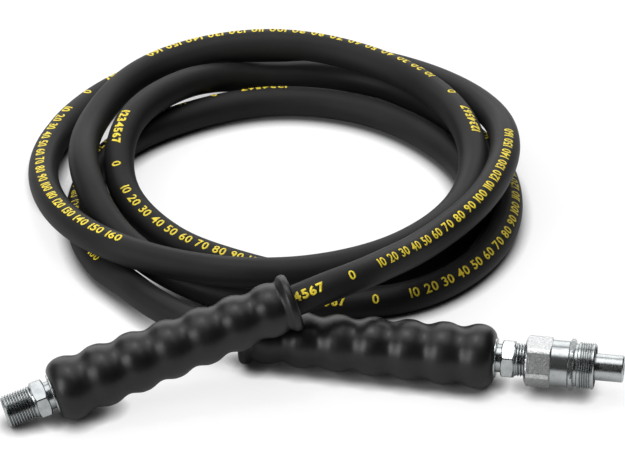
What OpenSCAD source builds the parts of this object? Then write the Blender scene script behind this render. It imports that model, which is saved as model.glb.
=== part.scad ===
// High-pressure hydraulic hose assembly: a coiled hose with a strain-relief grip, a crimped
// end fitting and a tapered pipe thread at each end. The right-hand fitting carries the
// probe half of a screw-on quick coupler. Millimetres, +Z up. The origin is the centre of
// the box round the rigid pieces, on the floor. The right-hand fitting points along +X.

/* [Hose] */
// Outside diameter of the hose cover
hose_d = 16; // [13:0.1:16.3]
// Outside diameter of the wire braid
braid_d = 12; // [10.4:0.1:12.8]
// Outside diameter of the inner tube
tube_d = 9.2; // [8:0.1:10]
// Bore of the inner tube
bore_d = 6.4; // [5.6:0.1:7.2]
// Radial clearance between one layer of the hose and the next
layer_gap = 0.02; // [0.01:0.01:0.05]

/* [Coil] */
// Centre of the coil, along X
coil_x = -39.4; // [-40.4:0.1:-38.4]
// Centre of the coil, along Y
coil_y = 174.4; // [173.4:0.1:176.4]
// Sides of the swept hose
hose_sides = 6; // [6:2:12]
// Rings between one station of the route and the next
station_rings = 2; // [2:1:3]

/* [Grip] */
// Length of a strain-relief grip
grip_len = 130; // [126:0.5:150]
// Diameter over the first bulge, at the fitting
grip_front_d = 33; // [30:0.5:36]
// Diameter over the last bulge, at the hose
grip_rear_d = 27.8; // [26:0.1:30]
// Number of bulges
bulges = 7; // [3:1:7]
// Distance from the front face to the first bulge
nose_round = 8.6; // [6:0.1:10]
// Depth of the valley between two bulges
valley_depth = 1.9; // [0.5:0.1:2.5]
// Diameter of the rear rim
rim_d = 30; // [26:0.5:32]
// Width of the rear rim
rim_len = 4; // [2:0.5:5]
// Radial clearance between the grip and the ferrule
grip_seat_gap = 0.05; // [0.02:0.01:0.2]
// Radial clearance between the grip and the hose
grip_hose_gap = 0.3; // [0.1:0.05:0.6]
// Flare of the grip's mouth, beyond the hose clearance
mouth_flare = 2.2; // [0:0.1:3]

/* [Placing of the grips] */
// First bulge of the left grip, along X
left_x = -119.8; // [-121:0.1:-119]
// First bulge of the left grip, along Y
left_y = -26.5; // [-27.5:0.1:-26]
// Heading of the left grip from fitting to hose, from +X
left_heading = 25.2; // [24.5:0.1:25.5]
// Lean of the left grip, up towards the hose
left_lean = 14.1; // [13.8:0.05:14.4]
// Front face of the right grip, along X
right_x = 88.4; // [87.4:0.1:89.9]
// Axis of the right grip, along Y
right_y = 31.4; // [31.1:0.1:31.7]

/* [Crimped end fittings] */
// Outside diameter of the crimped ferrule
ferrule_d = 20.5; // [19:0.1:22]
// Length of the ferrule behind the grip's face
ferrule_len = 35; // [28:0.5:40]
// Length of the ferrule that stands out of the grip
ferrule_proud = 0.8; // [0.1:0.1:1]
// Thickness of the ferrule's front lip
lip_len = 3; // [2:0.1:5]
// Number of crimp grooves round the ferrule
crimps = 4; // [2:1:5]
// Depth of a crimp groove
crimp_depth = 0.5; // [0.2:0.1:0.8]
// Diameter of the neck between ferrule and hexagon
neck_d = 14.5; // [12:0.1:15]
// Length of the neck outside the grip
neck_len = 3.4; // [2:0.1:6]
// Width across the flats of the fitting's hexagon
hex_af = 18.4; // [17.5:0.1:20]
// Width over the hexagon's turned corners
hex_corner_d = 20.9; // [19:0.1:23]
// Length of the hexagon
hex_len = 7; // [5:0.1:10]
// Length of the male taper thread
thread_len = 15.8; // [12:0.1:18]
// Crest diameter of the thread at the hexagon
thread_root_d = 17.4; // [16:0.1:17.6]
// Crest diameter of the thread at its tip
thread_tip_d = 16.7; // [15:0.1:17]
// Lead-in chamfer of the thread
thread_lead = 1.2; // [0.5:0.1:2]
// Port in the end of the fitting
port_bore_d = 7; // [5:0.1:9]
// Depth of the port
port_depth = 16; // [10:0.5:20]
// Bore through the fitting's tail
stem_bore_d = 4; // [3:0.1:5]
// Crest diameter of the barbs on the tail
barb_d = 6.34; // [5.5:0.02:6.38]
// Length of one barb
barb_len = 4; // [3:0.1:6]
// Depth of one barb
barb_depth = 0.3; // [0.1:0.05:0.5]
// Clearance round the neck in the ferrule's lip
lip_gap = 0.03; // [0.02:0.01:0.1]

/* [Coupler body] */
// Width across the flats of the body's hexagon
body_af = 23.6; // [22.6:0.1:24.6]
// Width over the body's turned corners
body_corner_d = 25.9; // [25:0.1:27.5]
// Length of the body's hexagon
body_hex_len = 14.1; // [12:0.1:20]
// Diameter of the body's round sleeve
sleeve_d = 23.5; // [21.5:0.1:24]
// Length of the round sleeve
sleeve_len = 8; // [4:0.1:12]
// Length of taper thread screwed into the body
engagement = 10.7; // [8:0.1:12]
// Depth of the threaded socket
socket_depth = 11.5; // [10.5:0.1:13]
// Radial clearance in the threaded socket
socket_gap = 0.02; // [0.01:0.01:0.05]
// Passage between the socket and the probe
passage_d = 9; // [7:0.1:10]
// Diameter of the spigot that the collar turns on
spigot_d = 17.6; // [17:0.1:18.4]
// Length of the spigot
spigot_len = 11.7; // [11.4:0.1:12.5]

/* [Lock collar] */
// Diameter over the collar's thread
collar_d = 23.6; // [22.5:0.1:24]
// Length of the collar's threaded barrel
collar_len = 10.3; // [9.3:0.1:13.7]
// Width across the flats of the collar's flange
flange_af = 24.5; // [24:0.1:26]
// Width over the flange's turned corners
flange_corner_d = 26.3; // [25.5:0.1:28]
// Length of the flange
flange_len = 2.8; // [2:0.1:5]
// Radial running clearance on the spigot
collar_run = 0.05; // [0.02:0.01:0.1]
// End float of the collar at each end
collar_float = 0.2; // [0.1:0.05:0.4]

/* [Snap ring] */
// Width of the snap ring, from its inside to its outside
ring_width = 2.05; // [1.6:0.05:2.35]
// Thickness of the ring
ring_thick = 1.1; // [0.8:0.1:1.3]
// Depth of its groove in the spigot
ring_groove = 0.8; // [0.4:0.1:1]
// Opening between the ring's ends
ring_opening = 4; // [2:0.5:8]
// Clearance of the ring in its groove
ring_gap = 0.05; // [0.02:0.01:0.1]

/* [Probe] */
// Outside diameter of the probe
nose_d = 13.7; // [13:0.1:14]
// Diameter of the probe's shank inside the body
shank_d = 13.1; // [12.6:0.1:13.5]
// Length of the probe in front of the collar
nose_reach = 14.5; // [10:0.1:18]
// Clearance of the probe in the body
nose_gap = 0.05; // [0.02:0.01:0.1]
// Bore of the probe
nose_bore_d = 9.6; // [9:0.1:10.2]
// Port in the tip of the probe
nose_port_d = 6.4; // [5.6:0.1:7]
// Length of the port in the tip
nose_port_len = 3; // [2:0.1:5]
// Length of the conical valve seat
valve_cone_len = 2; // [1.5:0.1:3]
// Cross-section of the probe's seal ring
seal_section = 1.4; // [1:0.1:1.6]
// Clearance of the seal ring on the probe and in its groove
seal_gap = 0.03; // [0.02:0.01:0.08]

/* [Valve] */
// Diameter of the poppet's head
poppet_d = 8.8; // [8.2:0.1:9]
// Length of the head behind the cone
poppet_len = 3; // [2:0.1:5]
// Diameter of the pin at the poppet's front
pin_d = 3.4; // [2:0.1:4]
// Distance of the pin's end behind the probe's tip
pin_set_back = 0.6; // [0.2:0.1:1.5]
// Diameter of the poppet's guide stem
guide_d = 3; // [2.4:0.1:3.6]
// Radial running clearance of the guide stem
guide_run = 0.05; // [0.02:0.01:0.1]
// Travel of the poppet
valve_travel = 3; // [2:0.1:4]
// Clearance between the closed poppet and its seat
valve_gap = 0.1; // [0.05:0.01:0.2]
// Outside diameter of the spring
spring_d = 8.6; // [8.2:0.1:8.8]
// Diameter of the spring wire
spring_wire = 0.8; // [0.6:0.1:0.9]
// Number of turns
spring_turns = 9; // [5:1:10]
// Clearance at each end of the spring
spring_end_gap = 0.1; // [0.05:0.05:0.3]
// Thickness of the spring seat's flange
seat_len = 2; // [1.5:0.1:3]
// Outside diameter of the boss that guides the stem
boss_d = 6.4; // [5.8:0.1:6.6]
// Length of the boss in front of the flange
boss_len = 9; // [6:0.5:10]
// Number of flow holes in the seat
flow_holes = 6; // [3:1:8]
// Diameter of a flow hole
flow_hole_d = 1.3; // [0.8:0.1:1.4]

/* [Hidden] */
$fn = 72;

// Colours
rubber_black = [0.10, 0.10, 0.11];
cover_black = [0.16, 0.16, 0.17];
tube_grey = [0.32, 0.32, 0.34];
zinc = [0.80, 0.83, 0.84];
steel = [0.62, 0.65, 0.68];
seal_black = [0.06, 0.06, 0.07];

// Points on one wave of the grip's outline, and on its rounded front
wave_steps = 10;
round_steps = 6;
// Width of the valleys, as a power of the cosine wave
valley_power = 1.35;
// Waves from the first bulge to the valley in front of the rear rim, and their pitch
waves_to_rim = bulges - 0.5;
bulge_pitch = (grip_len - nose_round - rim_len) / waves_to_rim;
// Rounding of the grip's rear rim
edge_round = 1.8;
// Straight length of hose at the rear of the grip that belongs to the free hose
free_start = 20;
free_from = grip_len - free_start;
// Start of the grip's mouth, measured back from its rear end
mouth_len = 8;
// Share of the crimp pitch that is the groove's floor, and that is each of its slopes
crimp_share = 0.4;
crimp_slope = 0.1;
// Ferrule behind the barbed tail's end, and the share of a barb that is its slope
tail_set = 2;
barb_slope = 0.9;
// Small chamfers on turned steel parts
small_chamfer = 0.6;
hex_chamfer = 1.1;
body_chamfer = 1.3;
// Angle of the chamfers on the hexagons, from the face
chamfer_angle = 30;
// Reliefs turned behind the hexagon and at the ends of the threads
relief_depth = 0.9;
relief_len = 1.4;
// Steel left in front of the snap ring's groove, and room round the ring in the collar
ring_set = 1.1;
ring_room = 0.3;
// Depth of the probe's seat inside the sleeve, and of its seal ring in front of the seat
seat_set = 6;
seal_set = 1.5;
// Turn of each hexagon about its own axis, in degrees
stem_turn_left = 5;
stem_turn_right = -5;
body_turn = 30;
collar_turn = 36;
// Rings on each turn of the spring, and sides of its wire
spring_rings = 8;
wire_sides = 6;
// Room behind the poppet's stem when the poppet is pushed back
stem_room = 1;
// How far a cut reaches past the face it starts from
past = 1;

// Heights and places along a fitting, measured outwards from the grip's face
axis_z = grip_front_d / 2;
hex_at = neck_len;
thread_at = hex_at + hex_len;
thread_end = thread_at + thread_len;
body_at = thread_end - engagement;
sleeve_at = body_at + body_hex_len;
spigot_at = sleeve_at + sleeve_len;
collar_at = spigot_at + collar_float;
barrel_at = collar_at + flange_len;
collar_end = barrel_at + collar_len;
spigot_end = spigot_at + spigot_len;
ring_at = spigot_end - ring_thick - ring_set;
ring_inner_d = spigot_d - 2 * ring_groove + 2 * ring_gap;
ring_d = ring_inner_d + 2 * ring_width;
collar_shoulder = ring_at - collar_float;
socket_end = body_at + socket_depth;
seat_at = spigot_at - seat_set;
nose_at = seat_at + seat_len + nose_gap;
probe_at = spigot_end + nose_gap;
nose_end = collar_end + nose_reach;
port_at = nose_end - nose_port_len;
cone_at = port_at - valve_cone_len;
seal_at = seat_at + seat_len + seal_set;
seal_room = seal_section + 2 * seal_gap;
valve_slope = (nose_bore_d - nose_port_d) / 2 / valve_cone_len;
head_front = cone_at - valve_gap + (nose_bore_d - poppet_d) / 2 / valve_slope;
head_rear = head_front - poppet_len;
spring_from = seat_at + seat_len;

// Route of the free hose. A station stands every 30 degrees round the coil, from the first
// one, 15 degrees before the +X side, to the last one, after four turns. Radius and lift are
// in millimetres: lift is the height of the hose above the floor, so 0 lies on the floor,
// about 17 crosses over one strand and 27 eases over two. One row is one turn.
station_step = 30;
first_angle = -15;
coil_radius = [
    110, 115, 125, 132, 135, 137, 136, 129, 121, 106, 97, 95,
    96, 98, 103, 108, 114, 124, 115, 108, 105, 101, 103, 115,
    118, 114, 109, 115, 110, 99, 95, 88, 77, 73, 81, 91,
    98, 97, 90, 87, 87, 90, 101, 111, 120
];
coil_lift = [
    27, 21, 8, 0, 0, 0, 0, 9, 18, 18, 17, 17,
    17, 17, 17, 18, 20, 14, 14, 18, 10, 1, 0, 0,
    0, 0, 0, 0, 1, 15, 16, 7, 1, 0, 0, 0,
    0, 0, 0, 0, 0, 0, 0, 0, 1
];
// Points between the grips and the coil, each as X, Y and lift
left_lead_points = [[1, 32.5, 41.2], [15.5, 46.5, 40.5], [28, 66.5, 36], [40.5, 90.5, 30]];
right_lead_points = [[-109.5, 74.5, 3], [-90.5, 54.5, 6], [-67.5, 38.2, 8]];

function station_angle(i) = first_angle + station_step * i;
function station_point(i) = [
    coil_x + coil_radius[i] * cos(station_angle(i)),
    coil_y + coil_radius[i] * sin(station_angle(i)),
    hose_d / 2 + coil_lift[i]
];
function lifted(p) = [p[0], p[1], p[2] + hose_d / 2];

// Axes of the two grips, as a point on the front face and the direction towards the hose
left_way = [
    cos(left_lean) * cos(left_heading),
    cos(left_lean) * sin(left_heading),
    sin(left_lean)
];
left_face = [left_x, left_y, axis_z] - nose_round * left_way;
right_way = [-1, 0, 0];
right_face = [right_x, right_y, axis_z];

route = concat(
    [left_face + free_from * left_way, left_face + grip_len * left_way],
    [for (p = left_lead_points) lifted(p)],
    [for (i = [0 : len(coil_radius) - 1]) station_point(i)],
    [for (p = right_lead_points) lifted(p)],
    [right_face + grip_len * right_way, right_face + free_from * right_way]
);
coil_from = 2 + len(left_lead_points);
coil_to = coil_from + len(coil_radius) - 1;

// Smooth curve through the route: cubic pieces whose end slopes allow for uneven spacing.
// The slopes at the grips are the grips' own axes, so the ends run straight.
function unit(v) = v / norm(v);
function span(i) = norm(route[i + 1] - route[i]);
function chord(i) = (route[i + 1] - route[i]) / span(i);
function slope_between(i) =
    unit((chord(i - 1) * span(i) + chord(i) * span(i - 1)) / (span(i - 1) + span(i)));
function slope(i) =
    i <= 1 ? left_way
    : i >= len(route) - 2 ? -right_way
    : slope_between(i);
function curve(i, t) =
    (2 * pow(t, 3) - 3 * pow(t, 2) + 1) * route[i]
    + (pow(t, 3) - 2 * pow(t, 2) + t) * span(i) * slope(i)
    + (3 * pow(t, 2) - 2 * pow(t, 3)) * route[i + 1]
    + (pow(t, 3) - pow(t, 2)) * span(i) * slope(i + 1);
function on_floor(p) = [p[0], p[1], max(p[2], hose_d / 2)];
function steps_after(i) = (i >= coil_from && i < coil_to) ? station_rings : 1;

left_lead_path = [for (i = [0 : coil_from]) on_floor(route[i])];
coil_path = concat(
    [for (i = [coil_from : coil_to - 1], k = [0 : station_rings - 1])
        on_floor(curve(i, k / station_rings))],
    [on_floor(route[coil_to])]
);
right_lead_path = [for (i = [coil_to : len(route) - 1]) on_floor(route[i])];

// Direction of a swept tube at one ring of its path. The ways at the two ends are given.
function way_at(path, i, first_way, last_way) =
    i == 0 ? first_way
    : i == len(path) - 1 ? last_way
    : unit(unit(path[i + 1] - path[i]) + unit(path[i] - path[i - 1]));

// One ring of points round a path's point, with a point straight below the centre
function ring_points(centre, way, r, sides, ref) =
    let (side = unit(cross(way, ref)), up = cross(side, way))
    [for (k = [0 : sides - 1])
        let (a = 360 * k / sides - 90)
        centre + r * (cos(a) * side + sin(a) * up)];

// Faces between two rings of a tube, as triangles
function side_faces(rings, sides, from, turned) = [
    for (i = [0 : rings - 2], k = [0 : sides - 1], half = [0, 1])
        let (
            a = from + i * sides + k,
            b = from + i * sides + (k + 1) % sides,
            c = b + sides,
            d = a + sides,
            f = half == 0 ? [a, b, c] : [a, c, d]
        )
        turned ? [f[2], f[1], f[0]] : f
];

// Faces that close the wall between two concentric rings
function wall_faces(outer, inner, sides, turned) = [
    for (k = [0 : sides - 1], half = [0, 1])
        let (
            n = (k + 1) % sides,
            f = half == 0
                ? [outer + k, inner + k, inner + n]
                : [outer + k, inner + n, outer + n]
        )
        turned ? [f[2], f[1], f[0]] : f
];

// Faces that close a solid end, as a fan
function cap_faces(from, sides, turned) = [
    for (k = [1 : sides - 2])
        turned ? [from, from + k + 1, from + k] : [from, from + k, from + k + 1]
];

// Hollow tube swept along a path
module swept_tube(path, outer_d, inner_d, sides, first_way, last_way, ref = [0, 0, 1]) {
    rings = len(path);
    inner_from = rings * sides;
    last = (rings - 1) * sides;
    points = [
        for (d = [outer_d, inner_d], i = [0 : rings - 1])
            each ring_points(path[i], way_at(path, i, first_way, last_way), d / 2, sides, ref)
    ];
    faces = concat(
        side_faces(rings, sides, 0, true),
        side_faces(rings, sides, inner_from, false),
        wall_faces(0, inner_from, sides, true),
        wall_faces(last, inner_from + last, sides, false)
    );
    polyhedron(points, faces);
}

// Solid wire swept along a path
module swept_wire(path, wire_d, sides, first_way, last_way, ref) {
    rings = len(path);
    points = [
        for (i = [0 : rings - 1])
            each ring_points(path[i], way_at(path, i, first_way, last_way), wire_d / 2, sides, ref)
    ];
    faces = concat(
        side_faces(rings, sides, 0, true),
        cap_faces(0, sides, false),
        cap_faces((rings - 1) * sides, sides, true)
    );
    polyhedron(points, faces);
}

// Least gap between two strands of the hose, measured on points along its centre line
gap_splits = 4;
all_rings = concat(
    left_lead_path,
    [for (i = [1 : len(coil_path) - 1]) coil_path[i]],
    [for (i = [1 : len(right_lead_path) - 1]) right_lead_path[i]]
);
gap_points = [
    for (i = [0 : len(all_rings) - 2], k = [0 : gap_splits - 1])
        all_rings[i] + k / gap_splits * (all_rings[i + 1] - all_rings[i])
];
// Points nearer than this along the hose are the same strand
same_strand = 14;
function least_gap() = min([
    for (i = [0 : len(gap_points) - 1 - same_strand], j = [i + same_strand : len(gap_points) - 1])
        norm(gap_points[i] - gap_points[j])
]) - hose_d;

// Places a fitting's pieces, which are drawn along +X from the grip's face outwards
module at_left_end() {
    translate(left_face) rotate([0, left_lean, 180 + left_heading]) children();
}
module at_right_end() {
    translate(right_face) children();
}
// Turns a shape drawn along +Z to lie along +X
module along_x() {
    rotate([0, 90, 0]) children();
}
// Revolved piece from an outline of [place along the axis, radius] points
module turned(outline) {
    along_x() rotate_extrude() polygon([for (p = outline) [p[1], p[0]]]);
}
// Round bar from one place on the axis to another
module bar(from, to, d) {
    translate([from, 0, 0]) along_x() cylinder(h = to - from, d = d);
}
// Hexagon bar with corners turned to a diameter and chamfered at both ends
module hex_bar(from, len, af, corner_d, chamfer, turn) {
    r = corner_d / 2;
    run = chamfer / tan(chamfer_angle);
    intersection() {
        translate([from, 0, 0]) along_x() rotate(turn)
            cylinder(h = len, d = af / cos(30), $fn = 6);
        turned([
            [from, 0],
            [from, r - run],
            [from + chamfer, r],
            [from + len - chamfer, r],
            [from + len, r - run],
            [from + len, 0]
        ]);
    }
}

// Strain-relief grip: moulded rubber with a wavy outside
bulge_taper = (grip_front_d - grip_rear_d) / 2 / (bulges - 1);
rim_at = grip_len - rim_len;
function bulge_wave(turn) = pow((1 - cos(360 * turn)) / 2, valley_power);
function wave_r(turn) =
    grip_front_d / 2 - bulge_taper * turn - valley_depth * bulge_wave(turn - floor(turn));
seat_r = ferrule_d / 2 + grip_seat_gap;
function front_round() = [
    for (k = [1 : round_steps - 1])
        let (a = 90 * k / round_steps)
        [-nose_round * (1 - sin(a)), seat_r + (grip_front_d / 2 - seat_r) * cos(a)]
];
function waves() = [
    for (k = [waves_to_rim * wave_steps : -1 : 0])
        [-nose_round - k / wave_steps * bulge_pitch, wave_r(k / wave_steps)]
];
function rim_round(at, turn_from, turn_to) = [
    for (k = [0 : 3])
        let (a = turn_from + (turn_to - turn_from) * k / 3)
        [at + edge_round * cos(a), rim_d / 2 - edge_round + edge_round * sin(a)]
];
module grip() {
    hose_r = hose_d / 2 + grip_hose_gap;
    turned(concat(
        [[0, seat_r], [-ferrule_len, seat_r], [-ferrule_len, hose_r]],
        [[mouth_len - grip_len, hose_r]],
        [[-grip_len, hose_r + mouth_flare]],
        rim_round(-grip_len + edge_round, 180, 90),
        rim_round(-rim_at - edge_round, 90, 0),
        waves(),
        front_round()
    ));
}

// Crimped ferrule: a sleeve over the hose with a lip round the fitting's neck
module ferrule() {
    lip_at = ferrule_proud - lip_len;
    outer_r = ferrule_d / 2;
    pitch = (ferrule_len + lip_at) / (crimps + 0.5);
    edge = crimp_share / 2;
    slope_end = edge + crimp_slope;
    turned(concat(
        [[ferrule_proud, neck_d / 2 + lip_gap], [lip_at, neck_d / 2 + lip_gap]],
        [[lip_at, hose_d / 2 + layer_gap], [-ferrule_len + layer_gap, hose_d / 2 + layer_gap]],
        [[-ferrule_len + layer_gap, outer_r]],
        [for (k = [crimps : -1 : 1], e = [-slope_end, -edge, edge, slope_end])
            [lip_at - pitch * (k - e), abs(e) > edge ? outer_r : outer_r - crimp_depth]],
        [[ferrule_proud - small_chamfer / 2, outer_r], [ferrule_proud, outer_r - small_chamfer / 2]]
    ));
}

// End fitting: barbed tail, neck, hexagon and male taper thread, bored through
barbs = floor((ferrule_len - lip_len - tail_set) / barb_len);
module stem(turn) {
    tail_end = -ferrule_len + tail_set;
    difference() {
        union() {
            turned(concat(
                [[tail_end, 0]],
                [for (k = [0 : barbs - 1], e = [0, 1])
                    [tail_end + barb_len * (k + e * barb_slope), barb_d / 2 - barb_depth * (1 - e)]],
                [[-lip_len, barb_d / 2], [-lip_len, neck_d / 2], [hex_at, neck_d / 2], [hex_at, 0]]
            ));
            hex_bar(hex_at, hex_len, hex_af, hex_corner_d, hex_chamfer, turn);
            turned([
                [thread_at, 0],
                [thread_at, thread_root_d / 2],
                [thread_end - thread_lead, thread_tip_d / 2],
                [thread_end, thread_tip_d / 2 - thread_lead],
                [thread_end, 0]
            ]);
        }
        bar(tail_end - past, thread_end, stem_bore_d);
        bar(thread_end - port_depth, thread_end + past, port_bore_d);
    }
}

// A straight length of one layer of the hose, inside ferrule and grip
module hose_layer(outer_d, inner_d) {
    difference() {
        bar(-free_from, -lip_len - ferrule_proud, outer_d);
        bar(-free_from - past, -lip_len + past, inner_d);
    }
}
module hose_end() {
    color(cover_black) hose_layer(hose_d, braid_d);
}
module wire_braid() {
    color(steel) hose_layer(braid_d - 2 * layer_gap, tube_d);
}
module inner_tube() {
    color(tube_grey) hose_layer(tube_d - 2 * layer_gap, bore_d);
}

// Coupler body: hexagon, sleeve and spigot, with the threaded socket at its rear
function taper_r(s) =
    thread_root_d / 2
    - (thread_root_d - thread_tip_d) / 2 * (s - thread_at) / (thread_len - thread_lead);
module coupler_body() {
    groove_r = spigot_d / 2 - ring_groove;
    color(zinc) difference() {
        union() {
            hex_bar(body_at, body_hex_len, body_af, body_corner_d, body_chamfer, body_turn);
            bar(sleeve_at - small_chamfer, spigot_at, sleeve_d);
            bar(spigot_at - small_chamfer, spigot_end, spigot_d);
        }
        turned([
            [body_at - past, 0],
            [body_at - past, taper_r(body_at - past) + socket_gap],
            [socket_end, taper_r(socket_end) + socket_gap],
            [socket_end, 0]
        ]);
        bar(socket_end - past, seat_at + past, passage_d);
        bar(seat_at, spigot_end + past, shank_d + 2 * nose_gap);
        bar(seal_at, seal_at + seal_room, shank_d + 2 * seal_room);
        turned([
            [ring_at - ring_gap, groove_r],
            [ring_at - ring_gap, spigot_d],
            [ring_at + ring_thick + ring_gap, spigot_d],
            [ring_at + ring_thick + ring_gap, groove_r]
        ]);
    }
}

// Lock collar: thin hexagon flange and threaded barrel, free to turn on the spigot
module lock_collar() {
    color(zinc) difference() {
        union() {
            hex_bar(collar_at, flange_len, flange_af, flange_corner_d, small_chamfer, collar_turn);
            turned([
                [barrel_at - small_chamfer, 0],
                [barrel_at - small_chamfer, collar_d / 2 - relief_depth],
                [barrel_at + relief_len, collar_d / 2 - relief_depth],
                [barrel_at + relief_len + small_chamfer, collar_d / 2],
                [collar_end - small_chamfer, collar_d / 2],
                [collar_end, collar_d / 2 - small_chamfer],
                [collar_end, 0]
            ]);
        }
        bar(collar_at - past, collar_end + past, spigot_d + 2 * collar_run);
        bar(collar_shoulder, collar_end + past, ring_d + 2 * ring_room);
    }
}

// Snap ring: an open ring in the spigot's groove that keeps the collar on
module snap_ring() {
    color(steel) difference() {
        bar(ring_at, ring_at + ring_thick, ring_d);
        bar(ring_at - past, ring_at + ring_thick + past, ring_inner_d);
        translate([ring_at - past, -ring_opening / 2, 0])
            cube([ring_thick + 2 * past, ring_opening, ring_d]);
    }
}

// Probe: hardened tube with the valve seat behind its port
module nose_tube() {
    color(zinc) difference() {
        turned([
            [nose_at, 0],
            [nose_at, shank_d / 2],
            [probe_at, shank_d / 2],
            [probe_at, nose_d / 2],
            [nose_end - small_chamfer, nose_d / 2],
            [nose_end, nose_d / 2 - small_chamfer],
            [nose_end, 0]
        ]);
        turned([
            [nose_at - past, 0],
            [nose_at - past, nose_bore_d / 2],
            [cone_at, nose_bore_d / 2],
            [port_at, nose_port_d / 2],
            [nose_end + past, nose_port_d / 2],
            [nose_end + past, 0]
        ]);
    }
}

// Seal ring between the probe and the body
module nose_seal() {
    color(seal_black)
        translate([seal_at + seal_gap + seal_section / 2, 0, 0])
            along_x() rotate_extrude()
                translate([shank_d / 2 + seal_gap + seal_section / 2, 0])
                    circle(d = seal_section);
}

// Spring seat: a pierced flange held between probe and body, with a boss that guides the stem
module spring_seat() {
    hole_ring = (nose_bore_d + boss_d) / 4;
    color(steel) difference() {
        union() {
            bar(seat_at, seat_at + seat_len, shank_d);
            bar(seat_at, seat_at + seat_len + boss_len, boss_d);
        }
        bar(seat_at - past, seat_at + seat_len + boss_len + past, guide_d + 2 * guide_run);
        for (k = [0 : flow_holes - 1])
            rotate([360 * k / flow_holes, 0, 0])
                translate([0, 0, hole_ring])
                    bar(seat_at - past, seat_at + seat_len + past, flow_hole_d);
    }
}

// Valve spring: a helix between the seat's flange and the poppet's head
module valve_spring() {
    wire_r = spring_wire / 2;
    coil_r = (spring_d - spring_wire) / 2;
    x_from = spring_from + wire_r + spring_end_gap;
    x_to = head_rear - wire_r - spring_end_gap;
    total = spring_turns * spring_rings;
    path = [
        for (i = [0 : total])
            let (a = 360 * i / spring_rings)
            [x_from + (x_to - x_from) * i / total, coil_r * cos(a), coil_r * sin(a)]
    ];
    rise = (x_to - x_from) / (spring_turns * PI * 2 * coil_r);
    end_way = unit([rise, 0, 1]);
    color(steel) swept_wire(path, spring_wire, wire_sides, end_way, end_way, [1, 0, 0]);
}

// Poppet: coned head with a pin in front and a guide stem behind
module poppet() {
    cone_tip_r = pin_d / 2;
    cone_run = (poppet_d / 2 - cone_tip_r) / valve_slope;
    stem_from = seat_at + valve_travel + stem_room;
    color(steel) turned([
        [stem_from, 0],
        [stem_from, guide_d / 2],
        [head_rear, guide_d / 2],
        [head_rear, poppet_d / 2],
        [head_front, poppet_d / 2],
        [head_front + cone_run, cone_tip_r],
        [nose_end - pin_set_back, cone_tip_r],
        [nose_end - pin_set_back, 0]
    ]);
}

module left_grip() { at_left_end() color(rubber_black) grip(); }
module right_grip() { at_right_end() color(rubber_black) grip(); }
module left_ferrule() { at_left_end() color(zinc) ferrule(); }
module right_ferrule() { at_right_end() color(zinc) ferrule(); }
module left_stem() { at_left_end() color(zinc) stem(stem_turn_left); }
module right_stem() { at_right_end() color(zinc) stem(stem_turn_right); }

coil_first_way = slope(coil_from);
coil_last_way = slope(coil_to);
module left_hose_lead() {
    color(cover_black)
        swept_tube(left_lead_path, hose_d, bore_d, hose_sides, left_way, coil_first_way);
}
module hose_coil() {
    color(cover_black)
        swept_tube(coil_path, hose_d, bore_d, hose_sides, coil_first_way, coil_last_way);
}
module right_hose_lead() {
    color(cover_black)
        swept_tube(right_lead_path, hose_d, bore_d, hose_sides, coil_last_way, -right_way);
}

echo(least_gap_mm = least_gap());  // hose_coil

left_grip();
right_grip();
left_ferrule();
right_ferrule();
left_stem();
right_stem();
at_left_end() hose_end();  // left_hose_end
at_right_end() hose_end();  // right_hose_end
at_left_end() wire_braid();  // left_wire_braid
at_right_end() wire_braid();  // right_wire_braid
at_left_end() inner_tube();  // left_inner_tube
at_right_end() inner_tube();  // right_inner_tube
left_hose_lead();
hose_coil();
right_hose_lead();
at_right_end() coupler_body();
at_right_end() lock_collar();
at_right_end() snap_ring();
at_right_end() nose_tube();
at_right_end() nose_seal();
at_right_end() spring_seat();
at_right_end() valve_spring();
at_right_end() poppet();
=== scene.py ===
"""Coiled high-pressure hydraulic hose with ribbed grips, crimped end fittings and a screw-on
quick coupler half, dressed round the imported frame. Metres, +Z up, floor at zero."""

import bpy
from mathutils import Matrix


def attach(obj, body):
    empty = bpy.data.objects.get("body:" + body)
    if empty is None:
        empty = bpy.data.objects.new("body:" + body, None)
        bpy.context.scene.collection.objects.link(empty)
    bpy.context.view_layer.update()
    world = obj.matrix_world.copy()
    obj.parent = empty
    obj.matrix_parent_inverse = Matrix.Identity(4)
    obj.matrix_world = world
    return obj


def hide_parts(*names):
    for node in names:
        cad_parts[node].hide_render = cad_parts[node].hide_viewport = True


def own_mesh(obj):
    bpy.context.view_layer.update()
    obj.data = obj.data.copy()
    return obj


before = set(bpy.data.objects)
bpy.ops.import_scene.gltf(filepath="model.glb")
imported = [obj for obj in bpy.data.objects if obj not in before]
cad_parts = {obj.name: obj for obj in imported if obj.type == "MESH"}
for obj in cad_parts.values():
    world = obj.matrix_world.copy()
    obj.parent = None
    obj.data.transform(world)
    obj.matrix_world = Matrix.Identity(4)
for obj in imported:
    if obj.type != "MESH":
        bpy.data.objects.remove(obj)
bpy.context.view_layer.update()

import math

import bmesh
import bpy
from mathutils import Matrix, Vector

# ---------------------------------------------------------------------------------------
# Hose. Two layers of steel wire round a thermoplastic tube, under a black synthetic rubber
# cover that is extruded on and cured, which leaves it matt with a faint grain. It leaves
# the left grip, lies in nearly four turns and ends in the right grip.
# ---------------------------------------------------------------------------------------
hose_d = 0.016
hose_r = hose_d / 2
hose_sides = 40
ring_gap = 0.002

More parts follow.
